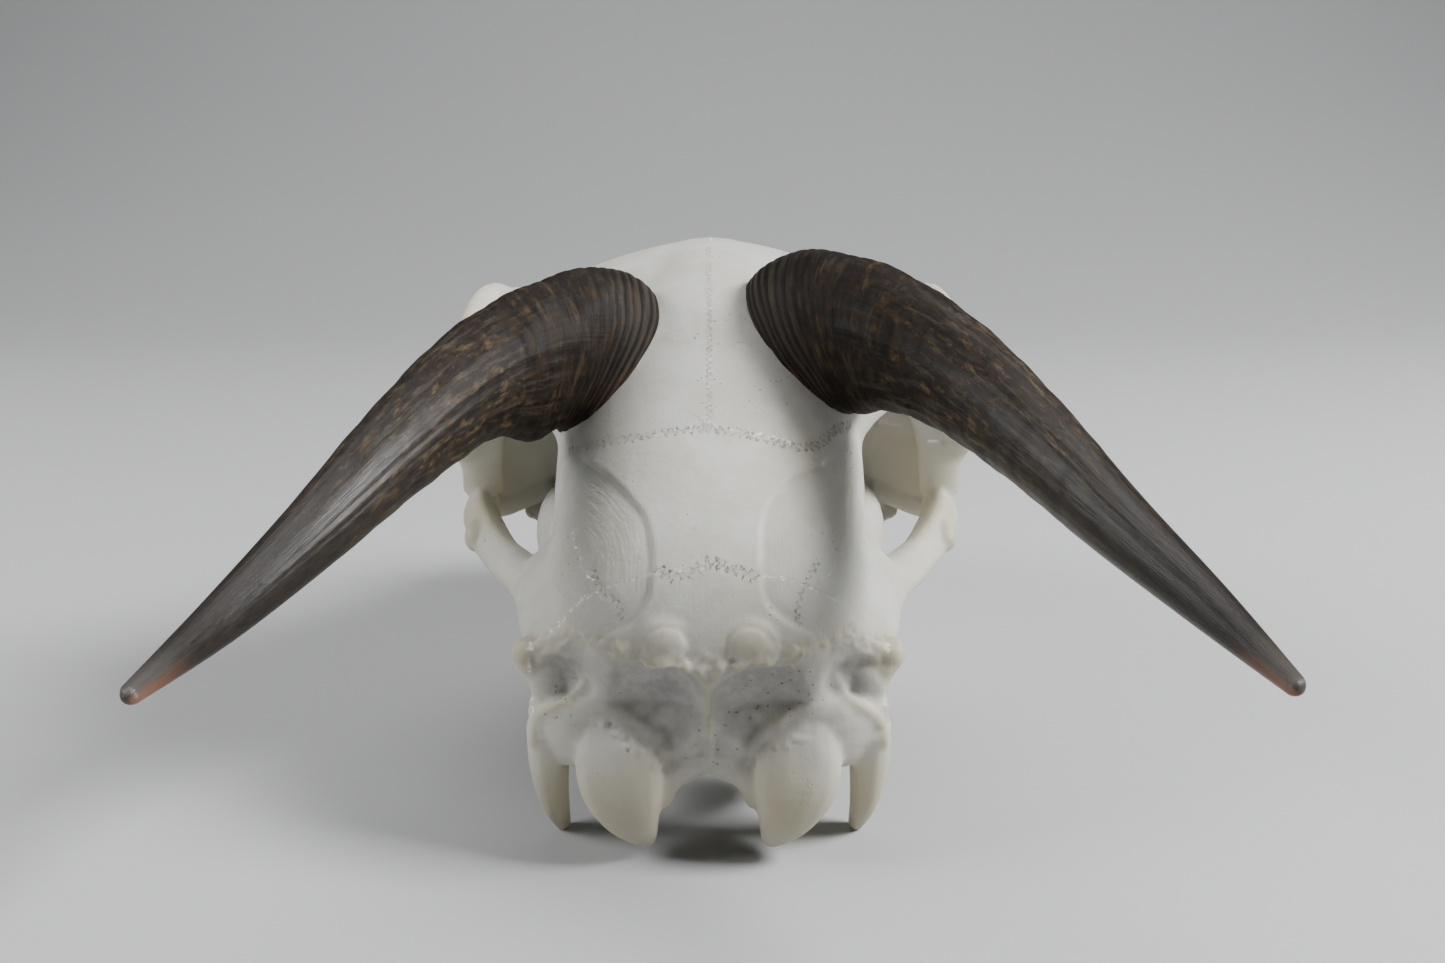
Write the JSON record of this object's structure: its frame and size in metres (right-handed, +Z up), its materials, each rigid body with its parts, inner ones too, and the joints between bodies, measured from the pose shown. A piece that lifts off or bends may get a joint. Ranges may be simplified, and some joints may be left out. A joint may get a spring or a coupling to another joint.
{
  "type": "goat skull",
  "caption": "Dry goat skull without its lower jaw, with two backswept horn sheaths, resting nose-up on its last cheek teeth and the processes beside its condyles.",
  "frame": {"origin": "centre of the bounding box's base, on the surface that the last cheek teeth and the rear processes rest on", "axes": "-Y towards the nose, +Y out of the back of the head, +X to the animal's left, +Z up"},
  "size_m": [0.1556, 0.2574, 0.1127],
  "materials": {
    "bone": "bleached dry bone",
    "horn": "dark ringed horn"
  },
  "bodies": {
    "root": {"occipital": "bone", "parietal": "bone", "temporal_left": "bone", "temporal_right": "bone", "frontal_left": "bone", "frontal_right": "bone", "sphenoid": "bone", "zygomatic_left": "bone", "zygomatic_right": "bone", "lacrimal_left": "bone", "lacrimal_right": "bone", "maxilla_left": "bone", "maxilla_right": "bone", "nasal_left": "bone", "nasal_right": "bone", "premaxilla_left": "bone", "premaxilla_right": "bone", "horn_left": "horn", "horn_right": "horn"}
  },
  "joints": []
}
